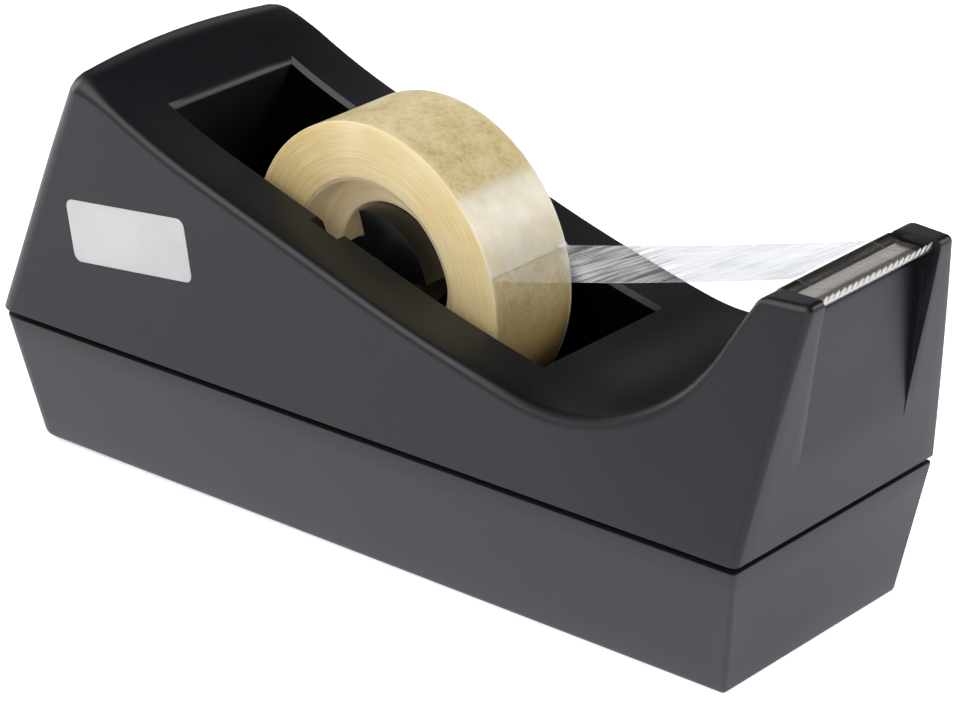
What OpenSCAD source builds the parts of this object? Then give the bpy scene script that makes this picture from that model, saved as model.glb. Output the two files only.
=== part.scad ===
// Weighted desktop tape dispenser: moulded housing on a ballasted base, with a
// roll of tape on a hub and axle pin, and a toothed steel blade on the raised
// front end. X runs from the tall rear end to the blade, Z is up, and the feet
// stand on Z = 0. All sizes are in millimetres.

/* [Show] */
// Piece to draw

/* [Body] */
// Width of the housing at the joint line
body_w = 52; // [50:1:58]
// Wall thickness of the housing
wall = 2.4; // [2:0.1:2.5]
// Thickness of the walls round the roll well
well_wall = 2.0; // [1.6:0.1:2.6]
// Inside width of the roll well
well_w = 28.6; // [27:0.2:30]

/* [Base] */
// Height of the base tray without its feet
base_h = 24.2; // [23:0.2:25]
// How far the feet stand out below the base
foot_out = 0.8; // [0.5:0.1:1.5]
// Radius of a foot
foot_r = 5; // [4:0.5:6]

/* [Roll] */
// Width of the tape
tape_w = 19; // [12:1:21]
// Outside radius of the wound tape
roll_r = 28.07; // [22:0.5:29]
// Radius of the axle pin
pin_r = 2.4; // [2.2:0.1:2.6]

/* [Blade] */
// Number of teeth
teeth = 19; // [10:1:22]
// Sheet thickness of the blade
blade_t = 0.7; // [0.5:0.1:0.8]

/* [Hidden] */
half_w = body_w / 2;

// joint line between base and housing
joint_gap = 1.2;
seam_z = base_h + joint_gap;
rear_x = -91.3;
seam_front_x = 82;

// rounding of the upright edges
rear_edge_r = 5;
front_edge_r = 0.8;

// base: ends at the top and at the desk, how far the sides lean in, and the
// straight lands at its top and bottom edges
base_top_x = [-91.1, 81.6];
base_foot_x = [-87.5, 76.3];
base_step = 0.2;
base_lean = 3.5;
base_wall = 2.4;
land = 0.3;

// rim that stands up inside the housing
rim_x = [-87.4, 78.4];
rim_t = 1.8;
rim_clear = 0.2;

// rear slope and crown
crown = [-65.2, 77.3];
crown_r = 4;
rear_head = atan2(crown[1] - seam_z, crown[0] - rear_x);

// top line: heading at the crown, arc, straight, arc, saddle arc, straight to the front top
head0 = -31.9;
arc1_r = 138.6;
head1 = -18;
run1 = 38.8;
arc2_r = 300;
head2 = -11.3;
saddle_r = 36.5;
head3 = 54.6;
nose_z = 68.8;
nose_x = 91.3;

// roll well and the grooves for the axle pin
well_rear = -50.8;
well_front = 33.1;
well_floor = 15;
axle = [-8.6, 45.8];
groove_tilt = -24;
groove_y = 16.9;
groove_pad = 1.8;
pin_fit = 0.05;

// raised front end
front_head = atan2(nose_z - seam_z, nose_x - seam_front_x);
taper_a = 8 / (nose_z - seam_z);
taper_b = 0.318 * taper_a;
seat_z = 66;
seat_half = 14.6;

// recess in the front face and the slot down each side of it
recess_foot_z = 39.2;
recess_top = [86.6, 63.2];
recess_foot_half = 13.9;
recess_top_half = 15;
slot_foot_z = 44;
slot_rear_x = 84.6;

// blade: upper side of the sheet, from the rear flange over the hump and the
// dished floor to the tips of the teeth
blade_half = 14.1;
blade_top = [[81, 64.1], [81, 67.4], [81.5, 68.25], [82.6, 68.15], [83.5, 67.1], [86.5, 67.2],
    [88.2, 66.8], [90.4, 68.9]];
tooth_pitch = 2 * (blade_half - 0.6) / teeth;
tooth_h = 1.2;
tooth_lean = 42;

// blank label set in the side
label_pos = [-52.6, 47.6];
label_size = [30.5, 11.6];
label_turn = 6;
label_t = 0.4;
label_corner = 1.6;
label_fit = 0.05;

// roll of tape, its core and the hub
roll_y = -1;
tape_y0 = roll_y - tape_w / 2;
tape_y1 = roll_y + tape_w / 2;
core_out = 18.2;
core_recess = 17.6;
core_bore = 12.35;
web_half = 4.5;
hub_r = 12.3;
hub_half = well_w / 2 - 0.5;
drum_r = 7.8;
sleeve_r = 4.2;
wing_half_angle = 47;
wing_turn = 56;
flange_r = 15.5;
flange_t = 2.1;

// bosses and screws
boss_rear = [-73, 13];
boss_front = [62, 13];
boss_z = 14;
boss_r = 4.2;
head_seat_z = 5;
head_r = 3.3;
head_h = 2.4;
slot_w = 0.9;
shank_r = 1.72;
shank_l = 16;

// ballast block: a plate with a taller part at each end
ballast_x = [-82, 69];
ballast_rear_l = 27;
ballast_front_l = 31.5;
ballast_half = half_w - 6.7;
ballast_low_h = 9;
ballast_tall_h = 20.4;

// feet sit in shallow rounds over the screws
foot_in = 0.8;
foot_ring = 2;

// strip of tape: where it leaves the roll, where it bends on the hump, its end
peel = 13.65;
strip_t = 0.2;
strip_bend = [81.6, 68.45];
strip_end = [90.9, 69.05];

function left_of(a) = [-sin(a), cos(a)];
function ahead(a) = [cos(a), sin(a)];
// points on an arc that turns left about centre c, from heading a to heading b
function bend(c, r, a, b, n) = [for (i = [0:n]) c - r * left_of(a + (b - a) * i / n)];
// points on an arc that turns right about centre c
function bend_right(c, r, a, b, n) = [for (i = [0:n]) c + r * left_of(a + (b - a) * i / n)];

c1 = crown + arc1_r * left_of(head0);
p1 = c1 - arc1_r * left_of(head1);
p2 = p1 + run1 * ahead(head1);
c2 = p2 + arc2_r * left_of(head1);
p3 = c2 - arc2_r * left_of(head2);
c3 = p3 + saddle_r * left_of(head2);
p4 = c3 - saddle_r * left_of(head3);

// the rounded crown
crown_d = crown_r * tan((rear_head - head0) / 2);
crown_c = crown - crown_d * ahead(rear_head) - crown_r * left_of(rear_head);
crown_pts = bend_right(crown_c, crown_r, rear_head, head0, 8);

// the long top line from crown to the foot of the raised front end, set in by t
function top_line(t) = concat(
    bend(c1, arc1_r + t, head0 + 3, head1, 10),
    bend(c2, arc2_r + t, head1, head2, 6),
    bend(c3, saddle_r + t, head2, head3, 14));

// point where the rear face of the front end reaches height z, set in by t
function climb(z, t) = let (q = p4 - t * left_of(head3))
    q + (z - q[1]) / sin(head3) * ahead(head3);
function rear_at(z, t) = rear_x + (z - seam_z) / tan(rear_head) + t / sin(rear_head);
function front_at(z, t) = seam_front_x + (z - seam_z) / tan(front_head) - t / sin(front_head);

module side_profile() {
    polygon(concat(
        [[rear_x, seam_z]],
        crown_pts,
        top_line(0),
        [climb(nose_z, 0), [nose_x, nose_z], [seam_front_x, seam_z]]));
}

module inner_profile(t) {
    polygon(concat(
        [[rear_at(0, t), 0], [rear_at(crown[1] - 9, t), crown[1] - 9]],
        top_line(t),
        [climb(seat_z - 9, t), [front_at(seat_z - 9, t + 3.6), seat_z - 9],
        [front_at(36, t), 36], [front_at(0, t), 0]]));
}

// stands an outline drawn in X and Z upright, centred on Y = 0
module upright(w) {
    translate([0, w / 2, 0])
        rotate([90, 0, 0])
            linear_extrude(w)
                children();
}

module lift() {
    translate([0, 0, foot_out])
        children();
}

module both_sides() {
    children();
    mirror([0, 1, 0])
        children();
}

// corners of a rounded rectangle with different front and rear radii
module rounded_outline(x0, x1, h, r0, r1) {
    polygon(concat(
        [for (a = [180:15:270]) [x0 + r0 + r0 * cos(a), -h + r0 + r0 * sin(a)]],
        [for (a = [270:15:360]) [x1 - r1 + r1 * cos(a), -h + r1 + r1 * sin(a)]],
        [for (a = [0:15:90]) [x1 - r1 + r1 * cos(a), h - r1 + r1 * sin(a)]],
        [for (a = [90:15:180]) [x0 + r0 + r0 * cos(a), h - r0 + r0 * sin(a)]]));
}

// keeps the leaning rear edges of the housing rounded
module rear_rounding() {
    translate([rear_x, 0, seam_z])
        rotate([0, 90 - rear_head, 0])
            translate([0, 0, -20])
                linear_extrude(220)
                    rounded_outline(0, 300, half_w, rear_edge_r, rear_edge_r);
}

module front_rounding() {
    translate([seam_front_x, 0, seam_z])
        rotate([0, 90 - front_head, 0])
            translate([0, 0, -80])
                linear_extrude(200)
                    rounded_outline(-300, 0, half_w, rear_edge_r, front_edge_r);
}

// what is cut from the sides so that the front end narrows upwards
module side_taper(t) {
    both_sides()
        translate([nose_x, half_w - t, seam_z])
            rotate([0, 0, -atan(taper_b)])
                rotate([atan(taper_a / sqrt(1 + taper_b * taper_b)), 0, 0])
                    translate([-160, 0, -40])
                        cube([200, 40, 160]);
}

module housing_outside() {
    difference() {
        intersection() {
            upright(body_w)
                side_profile();
            rear_rounding();
            front_rounding();
        }
        side_taper(0);
    }
}

module housing_inside() {
    difference() {
        upright(body_w - 2 * wall)
            inner_profile(wall);
        side_taper(wall);
    }
}

// solid walls round the roll well, and the pads that hold the axle grooves
module well_box() {
    translate([well_rear - well_wall, -well_w / 2 - well_wall, well_floor - well_wall])
        cube([well_front - well_rear + 2 * well_wall, well_w + 2 * well_wall, 70]);
    translate([axle[0] - 17.4, -groove_y - groove_pad, axle[1] - 11.8])
        cube([28, 2 * (groove_y + groove_pad), 40]);
}

module well_space() {
    translate([well_rear, -well_w / 2, well_floor])
        cube([well_front - well_rear, well_w, 80]);
}

module axle_grooves() {
    translate([axle[0], 0, axle[1]])
        rotate([0, groove_tilt, 0]) {
            rotate([90, 0, 0])
                cylinder(h = 2 * groove_y, r = pin_r + pin_fit, center = true, $fn = 64);
            translate([-pin_r - pin_fit, -groove_y, 0])
                cube([2 * (pin_r + pin_fit), 2 * groove_y, 50]);
        }
}

// four boss positions
module at_bosses() {
    both_sides() {
        translate([boss_rear[0], boss_rear[1], 0])
            children();
        translate([boss_front[0], boss_front[1], 0])
            children();
    }
}

// recess in the front face, wider at the top, with a slot down each side
module front_recess() {
    intersection() {
        upright(40)
            polygon([
                [front_at(recess_foot_z, 0), recess_foot_z], recess_top,
                recess_top + [-0.5, 0.8], recess_top + [-1.6, 0.8], recess_top + [-1.6, 20],
                recess_top + [20, 20], [recess_top[0] + 20, recess_foot_z]]);
        across()
            polygon([
                [-recess_foot_half, recess_foot_z - 4], [-recess_top_half, seat_z + 2],
                [-recess_top_half, 90], [recess_top_half, 90],
                [recess_top_half, seat_z + 2], [recess_foot_half, recess_foot_z - 4]]);
    }
    both_sides()
        intersection() {
            upright(40)
                polygon([
                    [slot_rear_x + 0.6, slot_foot_z], [slot_rear_x, seat_z],
                    [90, seat_z], [90, slot_foot_z]]);
            across()
                polygon([
                    [recess_foot_half - 1, slot_foot_z - 8], [recess_foot_half, seat_z],
                    [recess_foot_half + 1.05, seat_z], [recess_foot_half, slot_foot_z - 8]]);
        }
}

// stands an outline drawn in Y and Z across the front end
module across() {
    translate([60, 0, 0])
        rotate([90, 0, 90])
            linear_extrude(60)
                children();
}

// seat between the cheeks where the blade lies
module blade_seat() {
    translate([72, -seat_half, seat_z])
        cube([40, 2 * seat_half, 20]);
    translate([72, -seat_half, seat_z - 2])
        cube([10.4, 2 * seat_half, 20]);
}

module upper_housing() {
    color([0.13, 0.14, 0.15])
        lift()
            difference() {
                union() {
                    difference() {
                        housing_outside();
                        housing_inside();
                    }
                    intersection() {
                        union() {
                            housing_outside();
                            translate([-80, -23, 10])
                                cube([155, 46, 20]);
                        }
                        union() {
                            well_box();
                            at_bosses()
                                translate([0, 0, boss_z])
                                    cylinder(h = 60, r = boss_r, $fn = 48);
                        }
                    }
                }
                well_space();
                axle_grooves();
                front_recess();
                blade_seat();
                label_plate(label_fit);
                at_bosses()
                    translate([0, 0, boss_z - 1])
                        cylinder(h = 12, r = shank_r + pin_fit, $fn = 32);
            }
}

// tapered block: end positions top and foot, half width at the top, edge radii
module base_block(top_x, foot_x, half, z0, z1, r0, r1) {
    hull() {
        translate([0, 0, z0])
            linear_extrude(land)
                rounded_outline(foot_x[0], foot_x[1], half - base_lean + base_step, r0, r1);
        translate([0, 0, z1 - land])
            linear_extrude(land)
                rounded_outline(top_x[0], top_x[1], half, r0, r1);
    }
}

// rim that stands up inside the housing
module base_rim() {
    side = half_w - wall - rim_clear;
    difference() {
        translate([0, 0, base_h - 4])
            linear_extrude(joint_gap + 6)
                rounded_outline(rim_x[0], rim_x[1], side, 3, 1);
        translate([0, 0, base_h - 5])
            linear_extrude(joint_gap + 8)
                rounded_outline(rim_x[0] + rim_t, rim_x[1] - rim_t, side - rim_t, 2.4, 0.8);
    }
}

module base_tray() {
    side = half_w - base_step;
    inner = [base_wall, -base_wall];
    color([0.16, 0.17, 0.18])
        lift()
            difference() {
                union() {
                    difference() {
                        base_block(base_top_x, base_foot_x, side, 0, base_h, rear_edge_r, front_edge_r);
                        base_block(base_top_x + inner, base_foot_x + inner, side - base_wall,
                            base_wall, base_h + 0.1, rear_edge_r - 2, front_edge_r);
                    }
                    base_rim();
                    at_bosses()
                        translate([0, 0, 1])
                            cylinder(h = boss_z - 1, r = boss_r + 0.6, $fn = 48);
                }
                at_bosses() {
                    translate([0, 0, -1])
                        cylinder(h = boss_z + 2, r = shank_r + 0.23, $fn = 32);
                    translate([0, 0, -1])
                        cylinder(h = head_seat_z + 1, r = head_r + 0.3, $fn = 32);
                    translate([0, 0, -1])
                        cylinder(h = 1 + foot_in, r = foot_r + 0.15, $fn = 48);
                }
            }
}

module ballast_bar(x0, length, height) {
    translate([x0, -ballast_half, base_wall])
        cube([length, 2 * ballast_half, height]);
}

module ballast_block() {
    color([0.32, 0.31, 0.3])
        lift()
            difference() {
                union() {
                    ballast_bar(ballast_x[0], ballast_x[1] - ballast_x[0], ballast_low_h);
                    ballast_bar(ballast_x[0], ballast_rear_l, ballast_tall_h);
                    ballast_bar(ballast_x[1] - ballast_front_l, ballast_front_l, ballast_tall_h);
                }
                at_bosses()
                    cylinder(h = 40, r = boss_r + 1.1, $fn = 48);
            }
}

// one pan-head screw, head down in the base, tip in the housing's boss
module base_screw() {
    translate([0, 0, head_seat_z - head_h])
        difference() {
            cylinder(h = head_h, r = head_r, $fn = 32);
            for (turn = [0, 90])
                rotate([0, 0, turn])
                    translate([-2.2, -slot_w / 2, -0.1])
                        cube([4.4, slot_w, 1.3]);
        }
    translate([0, 0, head_seat_z - 0.2])
        cylinder(h = shank_l, r = shank_r, $fn = 32);
}

module base_screws() {
    color([0.55, 0.56, 0.58])
        lift()
            at_bosses()
                base_screw();
}

module foot() {
    color([0.1, 0.1, 0.1])
        difference() {
            cylinder(h = foot_out + foot_in, r = foot_r, $fn = 48);
            translate([0, 0, -0.1])
                cylinder(h = 0.4, r = foot_r - foot_ring, $fn = 48);
        }
}

module foot_front_left() {
    translate([boss_front[0], boss_front[1], 0])
        foot();
}

module foot_front_right() {
    translate([boss_front[0], -boss_front[1], 0])
        foot();
}

module foot_rear_left() {
    translate([boss_rear[0], boss_rear[1], 0])
        foot();
}

module foot_rear_right() {
    translate([boss_rear[0], -boss_rear[1], 0])
        foot();
}

function unit(v) = v / norm(v);
function right_of(v) = [v[1], -v[0]];
// one point of an open path moved to the path's right by t, mitred at a bend
function shifted(path, i, t) = let (
    last = len(path) - 1,
    a = unit(path[max(i, 1)] - path[max(i, 1) - 1]),
    b = unit(path[min(i + 1, last)] - path[min(i, last - 1)]),
    mitre = right_of(a) + right_of(b))
    path[i] + 2 * t / (mitre * mitre) * mitre;

// folded sheet, thinned towards the tips
module blade_sheet() {
    last = len(blade_top) - 1;
    upright(2 * blade_half)
        polygon(concat(
            blade_top,
            [for (i = [last:-1:0]) shifted(blade_top, i, i == last ? blade_t / 3 : blade_t)]));
}

module tooth_gap() {
    rotate([0, tooth_lean, 0])
        rotate([90, 0, 90])
            linear_extrude(8, center = true)
                polygon([[-tooth_pitch / 2, 1], [0, -tooth_h], [tooth_pitch / 2, 1]]);
}

module cutter_blade() {
    tip = blade_top[len(blade_top) - 1];
    color([0.72, 0.73, 0.74])
        lift()
            difference() {
                blade_sheet();
                for (i = [0:teeth])
                    translate([tip[0], (i - teeth / 2) * tooth_pitch, tip[1]])
                        tooth_gap();
            }
}

// blank label set flush in the side, or the pocket for it when grown
module label_plate(grow) {
    translate([label_pos[0], -half_w, label_pos[1]])
        rotate([0, -label_turn, 0])
            rotate([90, 0, 0])
                translate([0, 0, -label_t])
                    linear_extrude(label_t + grow)
                        label_outline(grow);
}

module label_outline(grow) {
    w = label_size[0] / 2 + grow;
    h = label_size[1] / 2 + grow;
    r = label_corner;
    polygon(concat(
        [for (a = [0:15:90]) [w - r + r * cos(a), h - r + r * sin(a)]],
        [for (a = [90:15:180]) [-w + r + r * cos(a), h - r + r * sin(a)]],
        [for (a = [180:15:270]) [-w + r + r * cos(a), -h + r + r * sin(a)]],
        [for (a = [270:15:360]) [w - r + r * cos(a), -h + r + r * sin(a)]]));
}

module side_label() {
    color([0.84, 0.85, 0.86])
        lift()
            label_plate(0);
}

// turns a round part's axis to Y and puts it on the roll's axis
module on_axle(y0, y1, r, n) {
    translate([axle[0], y1, axle[1]])
        rotate([90, 0, 0])
            cylinder(h = y1 - y0, r = r, $fn = n);
}

module axle_pin() {
    color([0.6, 0.61, 0.63])
        lift()
            on_axle(-groove_y + 0.3, groove_y - 0.3, pin_r, 64);
}

// strip from the peel line to the hump of the blade, then flat over the teeth
module tape_lead() {
    start = axle + (roll_r + 0.35) * ahead(peel);
    color([0.9, 0.91, 0.9])
        lift()
            translate([0, tape_y1, 0])
                rotate([90, 0, 0])
                    linear_extrude(tape_w)
                        polygon([
                            start, strip_bend, strip_end,
                            strip_end + [0, strip_t], strip_bend + [0, strip_t], start + [0, strip_t]]);
}

// one wing of the hub's near end
module hub_wing(a) {
    intersection() {
        on_axle(tape_y0 + 0.4, roll_y + web_half - 0.2, hub_r, 96);
        translate([axle[0], 0, axle[1]])
            rotate([0, -a, 0])
                upright(60)
                    polygon([[0, 0], 30 * ahead(-wing_half_angle), [45, 0], 30 * ahead(wing_half_angle)]);
    }
}

module hub_spool() {
    flange_y = roll_y + web_half + 0.1;
    color([0.09, 0.09, 0.1])
        lift()
            difference() {
                union() {
                    on_axle(tape_y0 + 0.4, tape_y1 - 0.6, drum_r, 64);
                    on_axle(-hub_half, hub_half, sleeve_r, 64);
                    hub_wing(wing_turn);
                    hub_wing(wing_turn + 180);
                    on_axle(flange_y, flange_y + flange_t, flange_r, 96);
                }
                on_axle(-20, 20, pin_r + pin_fit, 64);
            }
}

module tape_core() {
    color([0.86, 0.8, 0.62])
        lift()
            difference() {
                on_axle(tape_y0, tape_y1, core_out, 96);
                on_axle(tape_y0 - 1, roll_y - web_half, core_recess, 96);
                on_axle(roll_y + web_half, tape_y1 + 1, core_recess, 96);
                on_axle(-20, 20, core_bore, 96);
            }
}

module tape_roll() {
    color([0.9, 0.84, 0.62])
        lift()
            difference() {
                on_axle(tape_y0, tape_y1, roll_r, 128);
                on_axle(-20, 20, core_out + 0.05, 96);
            }
}

upper_housing();
base_tray();
ballast_block();
base_screws();
foot_front_left();
foot_front_right();
foot_rear_left();
foot_rear_right();
cutter_blade();
side_label();
axle_pin();
tape_lead();
hub_spool();
tape_core();
tape_roll();
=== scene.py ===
"""Looks for the desktop tape dispenser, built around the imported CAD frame.

The housing, base, blade, label, roll, core and strip are rebuilt as finished
meshes with their real fillets, and the small CAD parts get softened edges.
Lengths here are millimetres in the frame's own axes until they enter a mesh.
"""

import math
import random
from contextlib import contextmanager

import bmesh
import bpy
from mathutils import Matrix, Vector, noise


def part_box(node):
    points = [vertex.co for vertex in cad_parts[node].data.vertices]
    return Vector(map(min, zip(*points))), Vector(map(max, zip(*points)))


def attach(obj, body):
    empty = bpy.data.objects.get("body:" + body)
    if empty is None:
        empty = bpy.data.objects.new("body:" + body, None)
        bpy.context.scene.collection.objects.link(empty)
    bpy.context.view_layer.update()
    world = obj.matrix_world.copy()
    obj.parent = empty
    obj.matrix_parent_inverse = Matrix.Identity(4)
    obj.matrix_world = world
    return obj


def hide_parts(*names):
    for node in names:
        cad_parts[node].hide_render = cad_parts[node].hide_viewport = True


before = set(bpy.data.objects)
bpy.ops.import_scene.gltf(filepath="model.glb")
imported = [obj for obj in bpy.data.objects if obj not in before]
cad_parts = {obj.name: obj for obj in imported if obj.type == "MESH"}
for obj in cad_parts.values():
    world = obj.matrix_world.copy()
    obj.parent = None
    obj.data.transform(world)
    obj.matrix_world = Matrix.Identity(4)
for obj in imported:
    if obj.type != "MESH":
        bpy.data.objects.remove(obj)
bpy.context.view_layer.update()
MM = 0.001
random.seed(7)


def box_mm(node):
    """Lowest and highest corner of a CAD node, in millimetres."""
    low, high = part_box(node)
    return low / MM, high / MM


# ---------------------------------------------------------------- sizes from the frame
housing_low, housing_high = box_mm("upper_housing")
base_low = box_mm("base_tray")[0]
roll_low, roll_high = box_mm("tape_roll")
core_low, core_high = box_mm("tape_core")
pin_low, pin_high = box_mm("axle_pin")

HALF_W = housing_high.y
REAR_X = housing_low.x
NOSE_X = housing_high.x
BASE_Z = base_low.z
BASE_TOP = BASE_Z + 24.2
SEAM_Z = BASE_TOP + 1.2
AXLE = Vector(((pin_low.x + pin_high.x) / 2, (pin_low.z + pin_high.z) / 2))
PIN_R = (pin_high.x - pin_low.x) / 2
ROLL_R = (roll_high.x - roll_low.x) / 2
CORE_R = (core_high.x - core_low.x) / 2
TAPE_Y0 = roll_low.y
TAPE_Y1 = roll_high.y
TAPE_MIDDLE = (TAPE_Y0 + TAPE_Y1) / 2

# side outline, as in the CAD model
SEAM_FRONT_X = 82.0
NOSE_Z = SEAM_Z + 43.4
CROWN = Vector((-65.2, SEAM_Z + 51.9))
FRONT_HEAD = math.atan2(SEAM_Z - NOSE_Z, SEAM_FRONT_X - NOSE_X)

# top line from the crown to the front end: its headings and the radii of its arcs
CREST_HEAD = math.radians(-31.9)
SLOPE_HEAD = math.radians(-18.0)
FOOT_HEAD = math.radians(-11.3)
SADDLE_HEAD = math.radians(50)
NOSE_HEAD = math.radians(58)
CREST_R = 138.6
SLOPE_RUN = 38.8
FOOT_R = 300.0
SADDLE_R = 38.6
SADDLE_END_R = 36.0
CROWN_R = 4.6
NOSE_REAR_R = 2.9
NOSE_FRONT_R = 1.1

# roll well and the grooves that hold the pin
WELL_REAR = -50.8
WELL_FRONT = 33.1
WELL_HALF = 14.3
WELL_FLOOR = BASE_Z + 15.0
GROOVE_TILT = math.radians(24)
GROOVE_Y = 16.9

# raised front end
SEAT_Z = BASE_Z + 66.0
SEAT_HALF = 14.6
PANEL_FOOT_HALF = 13.7
PANEL_SPREAD = 0.9
PANEL_FOOT = Vector((84.96, BASE_Z + 39.2))
PANEL_TOP = Vector((86.6, BASE_Z + 64.3))

# fillet between top and sides: at the rear, along the land, and what other places add or take off
REAR_FILLET = (4.2, 4.6)
REAR_WIDER = 1.4
LAND_FILLET = 1.6
CROWN_DEEPER = 2.6
CROWN_WIDER = 4.4
SADDLE_MORE = 0.6
CHEEK_LESS = 0.95
CROWN_BULGE = 1.25
SIDE_TAPER = 0.181
TAPER_GROWTH = 0.017

# inner edges of the well and of the cheeks
RIM_R = 0.8
CHEEK_R = 0.9

# base: ends of its foot and of its top, and its corner radii at the rear and the front
BASE_FOOT_X = (-87.5, 76.3)
BASE_TOP_X = (-91.1, 81.6)
BASE_FOOT_HALF = HALF_W - 3.5
BASE_TOP_HALF = HALF_W - 0.2
BASE_CORNERS = (5, 0.9)

# core, strip of tape and blade
CORE_RECESS = 17.6
STREAK_TURN = math.radians(66)
PEEL_TURN = math.radians(13.9)
STRIP_BEND = Vector((81.8, BASE_Z + 68.5))
STRIP_END = Vector((90.75, BASE_Z + 69.1))
STRIP_THICK = 0.09
TEETH = 19
BLADE_HALF = 13.85
SHEET = 0.5
TOOTH_TIP = Vector((90.42, BASE_Z + 68.85))
LABEL_PROUD = 0.08

# mesh density
EXTEND = 4.5
REAR_STEPS = 16
CREST_STEPS = 16
FILLET_STEPS = 6
ROW = 2 * (FILLET_STEPS + 6) + 1
INNER_A = FILLET_STEPS + 3
INNER_B = ROW - 1 - INNER_A
FEET = ("foot_front_left", "foot_front_right", "foot_rear_left", "foot_rear_right")


# ---------------------------------------------------------------- small mesh tools
def link(name, mesh):
    obj = bpy.data.objects.new(name, mesh)
    bpy.context.scene.collection.objects.link(obj)
    return obj


@contextmanager
def editing(mesh):
    """The mesh opened for bmesh work and written back afterwards."""
    bm = bmesh.new()
    bm.from_mesh(mesh)
    yield bm
    bm.to_mesh(mesh)
    bm.free()


def make_object(name, verts, faces, smooth=True):
    """A mesh object from points in millimetres, its normals pointing out."""
    mesh = bpy.data.meshes.new(name)
    mesh.from_pydata([Vector(v) * MM for v in verts], [], faces)
    obj = link(name, mesh)
    with editing(mesh) as bm:
        bmesh.ops.remove_doubles(bm, verts=bm.verts, dist=0.001 * MM)
        bmesh.ops.recalc_face_normals(bm, faces=bm.faces)
    mesh.polygons.foreach_set("use_smooth", [smooth] * len(mesh.polygons))
    return obj


def boolean(obj, cutter, operation="DIFFERENCE"):
    """Applies an exact boolean and removes the cutter."""
    modifier = obj.modifiers.new("bool", "BOOLEAN")
    modifier.operation = operation
    modifier.solver = "EXACT"
    modifier.object = cutter
    bpy.context.view_layer.objects.active = obj
    bpy.ops.object.modifier_apply(modifier=modifier.name)
    bpy.data.objects.remove(cutter)


def smooth_by_angle(obj, angle):
    """Smooth shading that keeps edges sharper than angle."""
    with editing(obj.data) as bm:
        for face in bm.faces:
            face.smooth = True
        for edge in bm.edges:
            if len(edge.link_faces) == 2:
                edge.smooth = edge.calc_face_angle(0) < math.radians(angle)


def round_edges(bm, edges, reach, segments):
    bmesh.ops.bevel(bm, geom=edges, offset=reach * MM, segments=segments, profile=0.5,
                    affect="EDGES", clamp_overlap=True)


def sharp_edges(bm, angle):
    """Edges between two faces that meet at more than angle."""
    limit = math.radians(angle)
    return [e for e in bm.edges if len(e.link_faces) == 2 and e.calc_face_angle(0) > limit]


def refined_copy(node, name, width):
    """A CAD node's mesh with its flats joined up and its edges softened."""
    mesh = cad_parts[node].data.copy()
    mesh.materials.clear()
    obj = link(name, mesh)
    with editing(mesh) as bm:
        bmesh.ops.remove_doubles(bm, verts=bm.verts, dist=0.002 * MM)
        bmesh.ops.dissolve_limit(bm, angle_limit=math.radians(0.6), verts=bm.verts, edges=bm.edges)
    with editing(mesh) as bm:
        round_edges(bm, sharp_edges(bm, 40), width, 2)
        bmesh.ops.recalc_face_normals(bm, faces=bm.faces)
    smooth_by_angle(obj, 35)
    return obj


def skin(rings, n, closed=False):
    """Faces between successive rings of n points; closed joins the last ring to the first."""
    faces = []
    for i in range(rings if closed else rings - 1):
        j = (i + 1) % rings
        for k in range(n):
            m = (k + 1) % n
            faces.append((i * n + k, i * n + m, j * n + m, j * n + k))
    return faces


def prism(name, low, high):
    """A straight block between two outlines with the same number of points."""
    n = len(low)
    faces = [tuple(range(n)), tuple(range(2 * n - 1, n - 1, -1))]
    return make_object(name, low + high, faces + skin(2, n), smooth=False)


def lathe(name, profile, steps, wobble=None):
    """Turns a closed outline of (radius, y) points about the roll's axis."""
    verts = []
    for i in range(steps):
        a = 2 * math.pi * i / steps
        for k, (r, y) in enumerate(profile):
            dy = wobble(k, a) if wobble else 0
            verts.append((AXLE.x + r * math.cos(a), y + dy, AXLE.y + r * math.sin(a)))
    return make_object(name, verts, skin(steps, len(profile), closed=True))


def two_skins(name, low, high):
    """A thin solid between two grids of points, closed round their border."""
    rows, n = len(low), len(low[0])
    total = rows * n
    verts = [v for grid in (low, high) for row in grid for v in row]
    faces = []
    for i in range(rows - 1):
        for k in range(n - 1):
            a = i * n + k
            faces.append((a, a + 1, a + 1 + n, a + n))
            faces.append((total + a, total + a + n, total + a + 1 + n, total + a + 1))
    border = list(range(n)) + [i * n + n - 1 for i in range(1, rows)]
    border += [(rows - 1) * n + k for k in range(n - 2, -1, -1)]
    border += [i * n for i in range(rows - 2, 0, -1)]
    faces += [(a, b, total + b, total + a) for a, b in zip(border, border[1:] + border[:1])]
    return make_object(name, verts, faces)


def step_between(a, b, x):
    """Smooth step from 0 at a to 1 at b."""
    t = min(1.0, max(0.0, (x - a) / (b - a)))
    return t * t * (3 - 2 * t)


def left_of(heading):
    return Vector((-math.sin(heading), math.cos(heading)))


def ahead(heading):
    return Vector((math.cos(heading), math.sin(heading)))


def arc(path, radius, turn, steps):
    """Adds an arc to a path of (point, heading); a negative turn goes right."""
    start, heading = path[-1]
    side = 1 if turn > 0 else -1
    centre = start + side * radius * left_of(heading)
    for i in range(1, steps + 1):
        h = heading + turn * i / steps
        path.append((centre - side * radius * left_of(h), h))


def straight(path, length, steps):
    start, heading = path[-1]
    for i in range(1, steps + 1):
        path.append((start + length * i / steps * ahead(heading), heading))


# ---------------------------------------------------------------- housing
def half_width(x, z):
    """Half the housing's width: upright sides that narrow towards the top of the front end."""
    up = max(0.0, z - SEAM_Z)
    return HALF_W - SIDE_TAPER * up * step_between(36, 70, x) * (1 - TAPER_GROWTH * (NOSE_X - x))


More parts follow.
